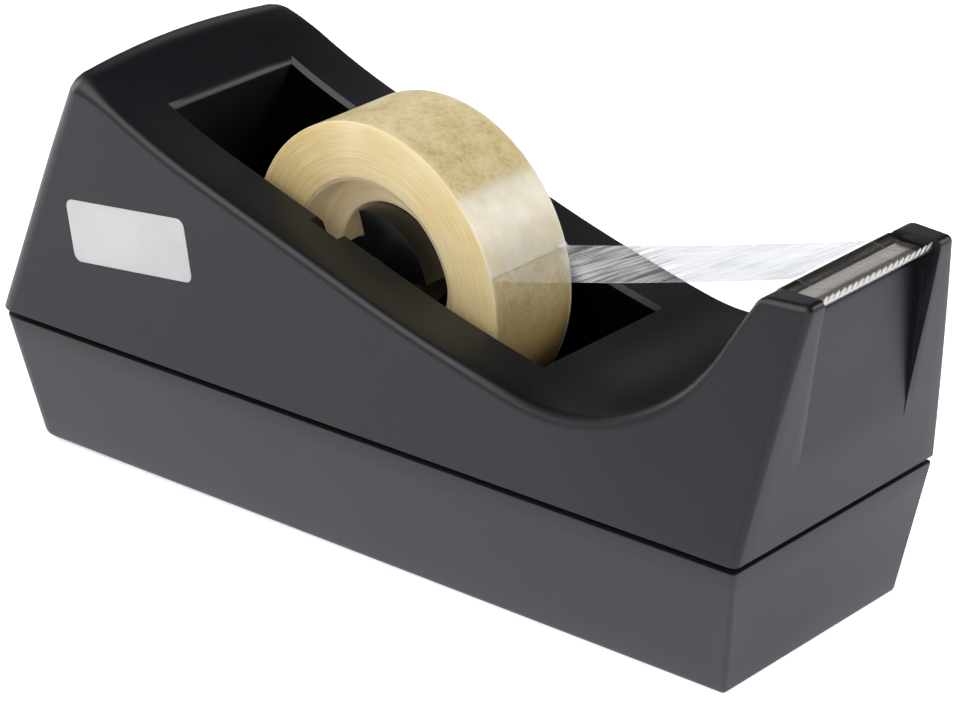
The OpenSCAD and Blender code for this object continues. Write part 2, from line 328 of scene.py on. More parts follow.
def rear_path():
    """The rear face, from below the joint up to the middle of the crown's curve."""
    foot = Vector((REAR_X, SEAM_Z))
    heading = math.atan2(CROWN.y - SEAM_Z, CROWN.x - REAR_X)
    turn = CREST_HEAD - heading
    corner = CROWN_R * math.tan(-turn / 2)
    path = [(foot - EXTEND * ahead(heading), heading)]
    straight(path, EXTEND, 2)
    straight(path, (CROWN - foot).length - corner, REAR_STEPS)
    arc(path, CROWN_R, turn / 2, 6)
    return path


def top_path(start):
    """From the middle of the crown's curve over the saddle to the front top edge."""
    path = [start]
    arc(path, CROWN_R, CREST_HEAD - start[1], 6)
    corner = (path[-1][0] - CROWN).length
    centre = CROWN + CREST_R * left_of(CREST_HEAD)
    head = CREST_HEAD + corner / CREST_R
    for i in range(1, CREST_STEPS + 1):
        h = head + (SLOPE_HEAD - head) * i / CREST_STEPS
        path.append((centre - CREST_R * left_of(h), h))
    straight(path, SLOPE_RUN, 14)
    arc(path, FOOT_R, FOOT_HEAD - SLOPE_HEAD, 12)
    arc(path, SADDLE_R, SADDLE_HEAD - FOOT_HEAD, 24)
    arc(path, SADDLE_END_R, NOSE_HEAD - SADDLE_HEAD, 4)
    corner = NOSE_REAR_R * math.tan(NOSE_HEAD / 2)
    straight(path, (NOSE_Z - path[-1][0].y) / math.sin(NOSE_HEAD) - corner, 9)
    arc(path, NOSE_REAR_R, -NOSE_HEAD, 6)
    drop = NOSE_FRONT_R * math.tan(-FRONT_HEAD / 2)
    straight(path, NOSE_X - drop - path[-1][0].x, 6)
    arc(path, NOSE_FRONT_R, FRONT_HEAD / 2, 4)
    return path


def front_path(start, count):
    """Down the front face, with as many points as the rear path."""
    path = [start]
    bend, below = 4, 2
    arc(path, NOSE_FRONT_R, FRONT_HEAD - start[1], bend)
    straight(path, (path[-1][0].y - SEAM_Z) / -math.sin(FRONT_HEAD), count - 1 - bend - below)
    straight(path, EXTEND, below)
    return path


def pin_station(path, x, gap):
    """Puts a point of the path exactly at x, with no other one closer than gap."""
    for i in range(len(path) - 1):
        (a, ha), (b, hb) = path[i], path[i + 1]
        if a.x < x <= b.x and abs(ha) < 1:
            t = (x - a.x) / (b.x - a.x)
            station = (a.lerp(b, t), ha + (hb - ha) * t)
            kept = [p for p in path[:i + 1] if (p[0] - station[0]).length > gap or p[0].x > x + 9]
            after = [p for p in path[i + 1:] if (p[0] - station[0]).length > gap]
            return kept + [station] + after, len(kept)
    raise ValueError("no station")


def edge_fillet(point, heading):
    """(depth, width) of the fillet to the side: broad round the crown, fine at the front end."""
    if point.x < -55 and heading > 0.5:
        depth, width = REAR_FILLET
        return depth, width + REAR_WIDER * step_between(CROWN.y - 18, CROWN.y - 2, point.y)
    if point.x < -40:
        near_crown = 1 - step_between(-68, -54, point.x)
        return LAND_FILLET + CROWN_DEEPER * near_crown, LAND_FILLET + CROWN_WIDER * near_crown
    r = LAND_FILLET + SADDLE_MORE * step_between(18, 44, point.x)
    r -= CHEEK_LESS * step_between(68, 79, point.x)
    return r, r


def crown_bulge(point, y, reach):
    """The tall rear end is slightly crowned across its width."""
    amount = CROWN_BULGE * (1 - step_between(-62, -52, point.x))
    shoulder = CROWN.y - 4
    if point.y < shoulder:
        amount *= step_between(SEAM_Z, shoulder, point.y)
    return amount * (1 - (y / reach) ** 2)


def inner_line(x, z):
    """Half-width of the well, and further on of the space between the cheeks."""
    if x < 60:
        return WELL_HALF
    if z < SEAT_Z - 2 and x > 80:
        return PANEL_FOOT_HALF + PANEL_SPREAD * step_between(PANEL_FOOT.y, PANEL_TOP.y, z)
    return WELL_HALF + (SEAT_HALF - WELL_HALF) * step_between(60, 76, x)


def across(point, heading):
    """One row of the skin, side to side: fillet, land, middle, land, fillet."""
    out = left_of(heading)
    depth, width = edge_fillet(point, heading)
    near = []
    for i in range(FILLET_STEPS + 1):
        phi = math.pi / 2 * i / FILLET_STEPS
        q = point - out * depth * (1 - math.sin(phi))
        near.append((q, half_width(q.x, q.y) - width * (1 - math.cos(phi))))
    reach = near[-1][1]
    inner = inner_line(point.x, point.y)
    lands = [reach + (inner - reach) * t for t in (0.33, 0.72, 1.0)]
    middle = [inner * t for t in (0.66, 0.33, 0.0)]
    half = [(q.x, y, q.y) for q, y in near]
    for y in lands + middle:
        q = point + out * crown_bulge(point, y, reach)
        half.append((q.x, y, q.y))
    half[FILLET_STEPS] = (point.x, reach, point.y)
    return [(x, -y, z) for x, y, z in half] + [(x, y, z) for x, y, z in reversed(half[:-1])]


def at(i, k):
    """Number of point k in row i of the skin."""
    return i * ROW + k


def seat_path(count):
    """Middle of the front end: rear lip, blade slot, panel top and panel, with count points."""
    points = [Vector((80.5, SEAT_Z + 0.5)), Vector((80.8, SEAT_Z + 0.1)), Vector((80.95, SEAT_Z - 2))]
    points += [Vector((82.9, SEAT_Z - 2)), Vector((83.1, SEAT_Z - 0.8)), Vector((84.6, SEAT_Z - 0.9))]
    r = 0.8
    lean = math.atan2(PANEL_TOP.y - PANEL_FOOT.y, PANEL_TOP.x - PANEL_FOOT.x)
    centre = Vector((PANEL_TOP.x - r - 0.03, SEAT_Z - 1.75))
    for i in range(5):
        h = math.pi / 2 + (lean - math.pi / 2 - math.radians(82)) * i / 4
        points.append(centre + r * ahead(h))
    points.append(PANEL_TOP)
    run = count - len(points)
    return points + [PANEL_TOP.lerp(PANEL_FOOT, i / (run + 1)) for i in range(1, run + 1)]


def add_well(verts, faces, first, last):
    """Walls straight down from the rim between two rows, and a floor."""
    ring = [at(first, k) for k in range(INNER_A, INNER_B + 1)]
    ring += [at(i, INNER_B) for i in range(first + 1, last + 1)]
    ring += [at(last, k) for k in range(INNER_B - 1, INNER_A - 1, -1)]
    ring += [at(i, INNER_A) for i in range(last - 1, first, -1)]
    low = [len(verts) + i for i in range(len(ring))]
    verts += [(verts[v][0], verts[v][1], WELL_FLOOR) for v in ring]
    for i in range(len(ring)):
        j = (i + 1) % len(ring)
        faces.append((ring[i], ring[j], low[j], low[i]))
    faces.append(tuple(low))


def add_cheek_space(verts, faces, first, last):
    """Space between the cheeks: its own middle strip, joined to the skin by two walls."""
    span = INNER_B - INNER_A
    strip = [[at(first, k) for k in range(INNER_A, INNER_B + 1)]]
    for p in seat_path(last - first):
        half = inner_line(p.x, p.y)
        strip.append([len(verts) + k for k in range(span + 1)])
        verts += [(p.x, -half + 2 * half * k / span, p.y) for k in range(span + 1)]
    strip.append([at(last + 1, k) for k in range(INNER_A, INNER_B + 1)])
    for a, b in zip(strip, strip[1:]):
        for k in range(span):
            faces.append((a[k], a[k + 1], b[k + 1], b[k]))
    for k, edge in ((0, INNER_A), (span, INNER_B)):
        for j in range(len(strip) - 1):
            quad = [strip[j][k], strip[j + 1][k], at(first + j + 1, edge), at(first + j, edge)]
            quad = [v for n, v in enumerate(quad) if v not in quad[:n]]
            if len(quad) > 2:
                faces.append(tuple(quad))


def add_side(verts, faces, left, over, right, sign):
    """A side: a grid between the rear edge, the top edge, the front edge and the joint."""
    def xz(v):
        return Vector((verts[v][0], verts[v][2]))

    low_rear, low_front = xz(left[0]), xz(right[0])
    top_rear, top_front = xz(left[-1]), xz(right[-1])
    nu, nv = len(over) - 1, len(left) - 1
    rise_l = [(xz(v).y - low_rear.y) / (top_rear.y - low_rear.y) for v in left]
    rise_r = [(xz(v).y - low_front.y) / (top_front.y - low_front.y) for v in right]
    grid = [list(left)]
    for i in range(1, nu):
        u = (xz(over[i]).x - top_rear.x) / (top_front.x - top_rear.x)
        bottom = low_rear.lerp(low_front, u)
        column = []
        for j in range(nv):
            p = bottom.lerp(xz(over[i]), rise_l[j] + (rise_r[j] - rise_l[j]) * u)
            p += (1 - u) ** 4 * (xz(left[j]) - low_rear.lerp(top_rear, rise_l[j]))
            p += u ** 4 * (xz(right[j]) - low_front.lerp(top_front, rise_r[j]))
            column.append(len(verts))
            verts.append((p.x, sign * half_width(p.x, p.y), p.y))
        grid.append(column + [over[i]])
    grid.append(list(right))
    for a, b in zip(grid, grid[1:]):
        for j in range(nv):
            faces.append((a[j], b[j], b[j + 1], a[j + 1]))


def at_seam(edge):
    return all(abs(v.co.z - SEAM_Z * MM) < 1e-6 for v in edge.verts)


def finish_shell(mesh):
    """Cuts the skin off at the joint, closes it and softens its inner and lower edges."""
    with editing(mesh) as bm:
        bmesh.ops.bisect_plane(bm, geom=bm.verts[:] + bm.edges[:] + bm.faces[:], clear_inner=True,
                               plane_co=(0, 0, SEAM_Z * MM), plane_no=(0, 0, 1), dist=1e-7)
        bmesh.ops.contextual_create(bm, geom=[e for e in bm.edges if e.is_boundary and at_seam(e)])
        bmesh.ops.recalc_face_normals(bm, faces=bm.faces)
        for low_x, high_x, reach, steps in ((WELL_REAR - 1, WELL_FRONT + 1, RIM_R, 1),
                                            (WELL_FRONT + 1, NOSE_X + 1, CHEEK_R, 3)):
            rim = []
            for e in sharp_edges(bm, 38):
                mid = (e.verts[0].co + e.verts[1].co) / 2 / MM
                inside = abs(mid.y) <= SEAT_HALF + 0.5 and mid.z > PANEL_FOOT.y + 3
                if e.is_convex and inside and low_x < mid.x < high_x:
                    rim.append(e)
            round_edges(bm, rim, reach, steps)
        round_edges(bm, [e for e in sharp_edges(bm, 38) if at_seam(e)], 0.3, 2)
        bmesh.ops.recalc_face_normals(bm, faces=bm.faces)


def housing():
    """The upper shell: skin, well, space between the cheeks, sides, grooves and ribs."""
    rear = rear_path()
    top = top_path(rear[-1])
    front = front_path(top[-1], len(rear))
    path = rear + top[1:] + front[1:]
    path, well_a = pin_station(path, WELL_REAR, 1.3)
    path, well_b = pin_station(path, WELL_FRONT, 1.3)
    corner_a = len(rear) - 1
    corner_b = len(path) - len(front)
    verts = [v for p, h in path for v in across(p, h)]
    # first row on the slope that reaches the seat, and last on the front above the panel's foot
    seat_a = min(i for i, (p, _) in enumerate(path) if i >= corner_a and p.x > 60 and p.y > SEAT_Z + 0.4)
    seat_b = max(i for i, (p, _) in enumerate(path) if p.y > PANEL_FOOT.y and p.x > 80)
    faces = []
    for i in range(len(path) - 1):
        for k in range(ROW - 1):
            middle = INNER_A <= k < INNER_B
            if middle and (well_a <= i < well_b or seat_a <= i <= seat_b):
                continue
            faces.append((at(i, k), at(i, k + 1), at(i + 1, k + 1), at(i + 1, k)))
    add_well(verts, faces, well_a, well_b)
    add_cheek_space(verts, faces, seat_a, seat_b)
    for edge, sign in ((0, -1), (ROW - 1, 1)):
        left = [at(i, edge) for i in range(corner_a + 1)]
        over = [at(i, edge) for i in range(corner_a, corner_b + 1)]
        right = [at(len(path) - 1 - i, edge) for i in range(corner_a + 1)]
        add_side(verts, faces, left, over, right, sign)

    obj = make_object("housing_shell", verts, faces)
    finish_shell(obj.data)
    for side in (-1, 1):
        boolean(obj, groove_cutter(side))
        boolean(obj, wall_rib(side), "UNION")
    mend(obj.data)
    smooth_by_angle(obj, 33)
    return obj


def mend(mesh):
    """Welds slivers and closes pinholes left by the boolean cuts."""
    with editing(mesh) as bm:
        bmesh.ops.remove_doubles(bm, verts=bm.verts, dist=0.01 * MM)
        bmesh.ops.holes_fill(bm, edges=[e for e in bm.edges if e.is_boundary], sides=8)
        bmesh.ops.recalc_face_normals(bm, faces=bm.faces)


def groove_cutter(side):
    """The slot in one well wall that an end of the pin slides down."""
    out = left_of(GROOVE_TILT)
    r = PIN_R + 0.05
    wide = Vector((out.y, -out.x)) * r
    outline = []
    for i in range(13):
        a = math.pi * i / 12
        outline.append(AXLE - wide * math.cos(a) - out * r * math.sin(a))
    outline += [AXLE + wide + out * 50, AXLE - wide + out * 50]
    inner, outer = sorted((side * (WELL_HALF - 3), side * GROOVE_Y))
    return prism("groove", [(p.x, inner, p.y) for p in outline], [(p.x, outer, p.y) for p in outline])


def wall_rib(side):
    """A fine raised line down the inner wall of one cheek, fading out towards its foot."""
    top, foot = Vector((87.75, BASE_Z + 63.4)), Vector((85.75, BASE_Z + 44.5))
    verts = []
    steps = 8
    for i in range(steps + 1):
        p = top.lerp(foot, i / steps)
        wall = inner_line(p.x, p.y)
        height = 0.34 * (1 - i / steps) + 0.02
        for dx, dy in ((-0.26, 0.3), (-0.1, -height), (0.1, -height), (0.26, 0.3)):
            verts.append((p.x + dx, side * (wall + dy), p.y))
    faces = [(0, 1, 2, 3), tuple(4 * steps + k for k in (3, 2, 1, 0))]
    return make_object("rib", verts, faces + skin(steps + 1, 4), smooth=False)


# ---------------------------------------------------------------- base
def rounded_ring(x0, x1, half, r_rear, r_front, steps=7):
    """Points round a rectangle in plan, with its own rear and front corner radii."""
    ring = []
    corners = [(x0 + r_rear, -half + r_rear, r_rear, 180), (x1 - r_front, -half + r_front, r_front, 270),
               (x1 - r_front, half - r_front, r_front, 0), (x0 + r_rear, half - r_rear, r_rear, 90)]
    for cx, cy, r, a0 in corners:
        for i in range(steps + 1):
            a = math.radians(a0 + 90 * i / steps)
            ring.append((cx + r * math.cos(a), cy + r * math.sin(a)))
    return ring


def base_ring(z, inset):
    """The base's outline at height z, set in by inset."""
    t = (z - BASE_Z) / (BASE_TOP - BASE_Z)
    x0, x1 = [foot + (top - foot) * t for foot, top in zip(BASE_FOOT_X, BASE_TOP_X)]
    half = BASE_FOOT_HALF + (BASE_TOP_HALF - BASE_FOOT_HALF) * t - inset
    r_rear, r_front = BASE_CORNERS
    ring = rounded_ring(x0 + inset, x1 - inset, half, r_rear - inset, max(0.2, r_front - inset))
    return [(x, y, z) for x, y in ring]


def base():
    """The tray, with a rim inside the housing that closes the joint, and pockets for the feet."""
    heights = [(BASE_Z, 0.8), (BASE_Z + 0.12, 0.35), (BASE_Z + 0.4, 0.1), (BASE_Z + 0.9, 0)]
    heights += [(BASE_Z + 0.9 + 22.7 * i / 6, 0) for i in range(1, 6)]
    heights += [(BASE_TOP - 0.45, 0), (BASE_TOP - 0.12, 0.12), (BASE_TOP, 0.42)]
    rings = [base_ring(z, inset) for z, inset in heights]
    inner = rounded_ring(-87.0, 78.0, HALF_W - 3.0, 3, 1)
    rings += [[(x, y, z) for x, y in inner] for z in (BASE_TOP, SEAM_Z)]
    n = len(rings[0])
    faces = skin(len(rings), n)
    faces.append(tuple(range(n)))
    faces.append(tuple((len(rings) - 1) * n + k for k in range(n)))
    obj = make_object("base_shell", [v for ring in rings for v in ring], faces)
    for node in FEET:
        low, high = box_mm(node)
        x, y, r = (low.x + high.x) / 2, (low.y + high.y) / 2, (high.x - low.x) / 2 + 0.15
        turns = [2 * math.pi * i / 48 for i in range(48)]
        ring = [(x + r * math.cos(a), y + r * math.sin(a)) for a in turns]
        low_ring, high_ring = ([(px, py, z) for px, py in ring] for z in (BASE_Z - 1, BASE_Z + 0.8))
        boolean(obj, prism("pocket", low_ring, high_ring))
    smooth_by_angle(obj, 33)
    return obj


# ---------------------------------------------------------------- roll, core and strip
def wound_roll():
    """Wound film: layer lines on both faces, very slightly uneven edges."""
    inner_r = CORE_R + 0.05
    rings = 34
    radii = [inner_r + (ROLL_R - 0.12 - inner_r) * i / rings for i in range(rings + 1)]
    offsets = [random.uniform(0.0, 0.07) for _ in radii]
    profile = [(r, TAPE_Y0 + o) for r, o in zip(radii, offsets)]
    profile += [(ROLL_R - 0.02, TAPE_Y0 + 0.09), (ROLL_R, TAPE_Y0 + 0.22)]
    profile += [(ROLL_R, TAPE_Y0 + 0.22 + (TAPE_Y1 - TAPE_Y0 - 0.44) * i / 12) for i in range(1, 12)]
    profile += [(ROLL_R, TAPE_Y1 - 0.22), (ROLL_R - 0.02, TAPE_Y1 - 0.09)]
    profile += [(r, TAPE_Y1 - o) for r, o in reversed(list(zip(radii, offsets)))]

    def wobble(k, a):
        return 0.03 * noise.noise(Vector((math.cos(a) * 1.3, math.sin(a) * 1.3, profile[k][0] * 0.9)))

    obj = lathe("wound_tape", profile, 288, wobble)
    smooth_by_angle(obj, 50)
    return obj


def core_ring():
    """Core counterbored from both ends, with a web between that takes the hub."""
    recess, bore, web0, web1, b = CORE_RECESS, 12.35, -5.5, 3.5, 0.25
    profile = [(bore + b, web0), (bore, web0 + b), (bore, web1 - b), (bore + b, web1)]
    profile += [(recess - 0.5, web1), (recess - 0.15, web1 + 0.15), (recess, web1 + 0.5)]
    profile += [(recess, TAPE_Y1 - 0.15), (recess + 0.12, TAPE_Y1)]
    profile += [(CORE_R - 0.1, TAPE_Y1), (CORE_R, TAPE_Y1 - 0.1), (CORE_R, TAPE_Y0 + 0.1)]
    profile += [(CORE_R - 0.1, TAPE_Y0), (recess + 0.12, TAPE_Y0), (recess, TAPE_Y0 + 0.15)]
    profile += [(recess, web0 - 1.0), (recess - 0.1, web0 - 0.9), (recess - 0.1, web0 - 0.5)]
    profile += [(recess - 0.3, web0 - 0.1), (recess - 0.6, web0)]
    obj = lathe("core_ring", profile, 160)
    smooth_by_angle(obj, 40)
    return obj


def strip_path():
    """Side line of the loose strip: on the roll, off it at the peel line, over the blade."""
    points = []
    for i in range(3):
        a = math.radians(15.2 - 1.0 * i / 2)
        points.append(AXLE + (ROLL_R + 0.02 + 0.05 * i) * ahead(a))
    start = AXLE + (ROLL_R + 0.45) * ahead(math.radians(13.6))
    for i in range(27):
        t = i / 26
        points.append(start.lerp(STRIP_BEND, t) - Vector((0, 0.35 * math.sin(math.pi * t))))
    for i in range(1, 9):
        t = i / 8
        points.append(STRIP_BEND.lerp(STRIP_END, t) - Vector((0, 0.75 * math.sin(math.pi * t) ** 2)))
    return points


def tape_strip():
    """The drawn-out strip, with faint ripples and a torn, toothed end."""
    line = strip_path()
    columns = 38
    last = len(line) - 1
    low = []
    high = []
    for i, p in enumerate(line):
        row = []
        for k in range(columns + 1):
            y = TAPE_Y0 + (TAPE_Y1 - TAPE_Y0) * k / columns
            lift = 0.10 * noise.noise(Vector((p.x * 0.09, y * 0.35, 3.1))) * step_between(19, 32, p.x)
            torn = 0.5 * abs((k % 4) - 2) / 2 + 0.1 * random.random() if i == last else 0
            row.append((p.x - torn, y, p.y + lift))
        d = (line[min(last, i + 1)] - line[max(0, i - 1)]).normalized()
        out = Vector((-d.y, d.x)) * STRIP_THICK
        low.append(row)
        high.append([(x + out.x, y, z + out.y) for x, y, z in row])
    obj = two_skins("film_strip", low, high)
    smooth_by_angle(obj, 60)
    return obj


# ---------------------------------------------------------------- blade
def blade_line():
    """Centre line of the folded sheet, rear flange to the foot of the teeth."""
    z = BASE_Z
    corners = [(81.25, z + 64.3), (81.25, z + 67.4), (81.65, z + 68.02), (82.2, z + 67.85),
               (83.3, z + 67.05), (86.7, z + 67.0), (89.2, z + 66.8), (89.72, z + 67.7)]
    corners = [Vector(c) for c in corners]
    line = [corners[0]]
    for a, b, c in zip(corners, corners[1:], corners[2:]):
        cut = min(0.55, (b - a).length * 0.45, (c - b).length * 0.45)
        p, q = b + (a - b).normalized() * cut, b + (c - b).normalized() * cut
        line += [p.lerp(b, t).lerp(b.lerp(q, t), t) for t in (0, 0.25, 0.5, 0.75, 1)]
    return line + [corners[-1]]


def blade():
    """Folded steel cutter with a row of pointed teeth."""
    line = blade_line()
    root = line[-1]
    line.append(TOOTH_TIP)
    last = len(line) - 1
    along = TEETH * 4
    skins = []
    for side in (-1, 1):
        rows = []
        for i, p in enumerate(line):
            d = (line[min(last, i + 1)] - line[max(0, i - 1)]).normalized()
            out = Vector((-d.y, d.x)) * SHEET / 2 * side * (0.35 if i == last else 1)
            row = []
            for k in range(along + 1):
                reach = 0.12 + 0.88 * (1 - abs((k % 4) - 2) / 2)
                s = out + (root.lerp(TOOTH_TIP, reach) if i == last else p)
                row.append((s.x, -BLADE_HALF + 2 * BLADE_HALF * k / along, s.y))
            rows.append(row)
        skins.append(rows)
    obj = two_skins("toothed_blade", *skins)
    smooth_by_angle(obj, 28)
    return obj


# ---------------------------------------------------------------- shader tools
def new_material(name):
    material = bpy.data.materials.new(name)
    material.use_nodes = True
    tree = material.node_tree
    return material, tree, tree.nodes["Principled BSDF"]


def feed(tree, socket, value):
    """Links another node's output to a socket, or sets the socket to a plain value."""
    if isinstance(value, bpy.types.NodeSocket):
        tree.links.new(value, socket)
    elif socket.type == "RGBA":
        socket.default_value = (*value, 1)
    else:
        socket.default_value = value


def set_inputs(tree, made, **values):
    """Feeds inputs by name; an underscore in a key stands for a space."""
    for key, value in values.items():
        feed(tree, made.inputs[key.replace("_", " ")], value)


def node(tree, kind, **values):
    """Adds a node; keys with a leading capital feed inputs, the rest set properties."""
    made = tree.nodes.new(kind)
    for key, value in values.items():
        if key[0].isupper():
            set_inputs(tree, made, **{key: value})
        else:
            setattr(made, key, value)
    return made


def calc(tree, operation, *values, kind="Math", result="Value"):
    """Result of a Math or VectorMath node, its inputs fed in order."""
    made = node(tree, "ShaderNode" + kind, operation=operation)
    for socket, value in zip(made.inputs, values):
        feed(tree, socket, value)
    return made.outputs[result]


def plus(tree, a, b, weight):
    """a + weight * b"""
    return calc(tree, "MULTIPLY_ADD", b, weight, a)


def distance_from(tree, value, centre):
    return calc(tree, "ABSOLUTE", calc(tree, "SUBTRACT", value, centre))


def fade(tree, value, low, high, start=0.0, end=1.0, smooth=True):
    """Goes from start, where value is at low, to end, where it is at high."""
    made = node(tree, "ShaderNodeMapRange", interpolation_type="SMOOTHSTEP" if smooth else "LINEAR",
                Value=value, From_Min=low, From_Max=high, To_Min=start, To_Max=end)
    return made.outputs[0]


def noise_at(tree, at, scale, detail, roughness=0.5):
    made = node(tree, "ShaderNodeTexNoise", Vector=at, Scale=scale, Detail=detail, Roughness=roughness)
    return made.outputs["Fac"]


def coordinates(tree, scale=(1, 1, 1)):
    """Object coordinates, stretched by scale."""
    where = tree.nodes.new("ShaderNodeTexCoord").outputs["Object"]
    return node(tree, "ShaderNodeMapping", Scale=scale, Vector=where).outputs["Vector"]


def object_axes(tree):
    """Object coordinates, as one vector and as separate X, Y and Z."""
    where = tree.nodes.new("ShaderNodeTexCoord").outputs["Object"]
    return where, node(tree, "ShaderNodeSeparateXYZ", Vector=where).outputs


def ramp(tree, source, *stops):
    """Colour ramp of (position, colour) stops; a number makes a grey."""
    made = tree.nodes.new("ShaderNodeValToRGB")
    elements = made.color_ramp.elements
    while len(elements) < len(stops):
        elements.new(0.5)
    for element, (position, colour) in zip(elements, stops):
        element.position = position
        if isinstance(colour, (int, float)):
            colour = (colour, colour, colour)
        element.color = (*colour, 1)
    tree.links.new(source, made.inputs["Fac"])
    return made.outputs["Color"]


def mix_colour(tree, factor, a, b):
    """a where factor is 0, b where it is 1."""
    return node(tree, "ShaderNodeMix", data_type="RGBA", Factor=factor, A=a, B=b).outputs["Result"]


def bump(tree, shader, height, strength, distance):
    """Relief from a height, its depth in millimetres."""
    made = node(tree, "ShaderNodeBump", Strength=strength, Distance=distance * MM, Height=height)
    set_inputs(tree, shader, Normal=made.outputs["Normal"])


def polar(tree):
    """Distance from the roll's axis, angle round it, y along it, and object coordinates."""
    where, at = object_axes(tree)
    x = calc(tree, "SUBTRACT", at["X"], AXLE.x * MM)
    z = calc(tree, "SUBTRACT", at["Z"], AXLE.y * MM)
    flat = node(tree, "ShaderNodeCombineXYZ", X=x, Y=z).outputs[0]
    radius = calc(tree, "LENGTH", flat, kind="VectorMath")
    return radius, calc(tree, "ARCTAN2", z, x), at["Y"], where


# ---------------------------------------------------------------- materials
def moulded_plastic(name, dark, light, rough, grain=2600.0, index=1.5):
    """Charcoal moulding: fine spark-eroded grain, faint handling marks in its gloss."""
    material, tree, shader = new_material(name)
    at = coordinates(tree)
    fine = noise_at(tree, at, grain, 3.0, 0.6)
    broad = noise_at(tree, at, 38.0, 4.0, 0.55)
    specks = noise_at(tree, at, 900.0, 1.0)
    colour = ramp(tree, broad, (0.3, dark), (0.7, light))
    gloss = ramp(tree, broad, (0.25, rough - 0.03), (0.75, rough + 0.04))
    set_inputs(tree, shader, Base_Color=colour, Roughness=gloss, IOR=index)
    bump(tree, shader, plus(tree, fine, specks, 0.5), 0.35, 0.02)
    return material


def calm_top(material):
    """Makes the upward faces of the low front half more matt than the walls."""
    tree = material.node_tree
    at = object_axes(tree)[1]
    normal = tree.nodes.new("ShaderNodeTexCoord").outputs["Normal"]
    facing = node(tree, "ShaderNodeSeparateXYZ", Vector=normal).outputs["Z"]
    up = fade(tree, facing, 0.45, 0.75)
    forward = fade(tree, at["X"], 22 * MM, 42 * MM)
    below = fade(tree, at["Z"], 64 * MM, 54 * MM)
    both = calc(tree, "MULTIPLY", up, calc(tree, "MULTIPLY", forward, below))
    level = fade(tree, both, 0.0, 1.0, 0.5, 0.14, smooth=False)
    set_inputs(tree, tree.nodes["Principled BSDF"], Specular_IOR_Level=level)


def housing_plastic():
    material = moulded_plastic("housing_charcoal", (0.0026, 0.0030, 0.0046), (0.0042, 0.0048, 0.0068),
                               0.42, index=1.43)
    calm_top(material)
    return material


def base_plastic():
    return moulded_plastic("base_charcoal", (0.0055, 0.0062, 0.0078), (0.0085, 0.0093, 0.0112), 0.44)


def hub_plastic():
    return moulded_plastic("hub_black", (0.0014, 0.0016, 0.0022), (0.0028, 0.0031, 0.0040), 0.28, 1800.0)


def well_shade_plastic():
    """Painted shade for the well's walls: the housing's plastic, darker and less reflective."""
    return moulded_plastic("well_painted_shade", (0.0008, 0.0009, 0.0013), (0.0014, 0.0016, 0.0022),
                           0.30, index=1.16)


def brushed_steel(name, tint, rough, stretch):
    """Steel with fine lines along one axis."""
    material, tree, shader = new_material(name)
    lines = noise_at(tree, coordinates(tree, stretch), 1.0, 4.0, 0.65)
    colour = ramp(tree, lines, (0.3, [c * 0.82 for c in tint]), (0.7, tint))
    gloss = ramp(tree, lines, (0.3, rough), (0.75, rough + 0.16))
    set_inputs(tree, shader, Base_Color=colour, Roughness=gloss, Metallic=1.0)
    bump(tree, shader, lines, 0.25, 0.01)
    return material


def blade_steel():
    """Brushed blade with painted shade darkening the hump and the foot of the teeth."""
    material = brushed_steel("blade_steel", (0.54, 0.51, 0.48), 0.20, (500, 60, 500))
    tree = material.node_tree
    shader = tree.nodes["Principled BSDF"]
    bare_steel = shader.inputs["Base Color"].links[0].from_socket
    where, at = object_axes(tree)
    wavy = plus(tree, at["X"], noise_at(tree, where, 300.0, 3.0), 0.5 * MM)
    reach = fade(tree, wavy, 80 * MM, 92 * MM, smooth=False)
    # painted shade and dark reflection: the hump and the trough at the foot of the teeth are darkened in
    # the colour itself
    painted_shade = ramp(tree, reach, (0.24, 0.85), (0.28, 0.0), (0.57, 0.0), (0.62, 0.85), (0.77, 0.85),
                 (0.80, 0.0))
    set_inputs(tree, shader, Base_Color=mix_colour(tree, painted_shade, bare_steel, (0.12, 0.10, 0.08)))
    return material


def film_faces(tree, radius, turn, where):
    """Layer lines on the roll's two faces, wandering a little, golden in places."""
    bent = plus(tree, radius, noise_at(tree, where, 120.0, 2.0), 0.9 * MM)
    ring_at = node(tree, "ShaderNodeCombineXYZ", X=calc(tree, "MULTIPLY", bent, 3600.0),
                   Y=calc(tree, "MULTIPLY", turn, 2.5))
    rings = noise_at(tree, ring_at.outputs[0], 1.0, 4.0, 0.7)
    pale = ramp(tree, rings, (0.3, (0.64, 0.51, 0.29)), (0.5, (0.70, 0.58, 0.35)),
                (0.7, (0.77, 0.66, 0.43)))
    gold = ramp(tree, rings, (0.3, (0.56, 0.41, 0.17)), (0.5, (0.63, 0.48, 0.22)),
                (0.7, (0.70, 0.56, 0.29)))
    patches = ramp(tree, noise_at(tree, where, 55.0, 2.0), (0.42, 0.0), (0.62, 1.0))
    return rings, mix_colour(tree, patches, pale, gold)


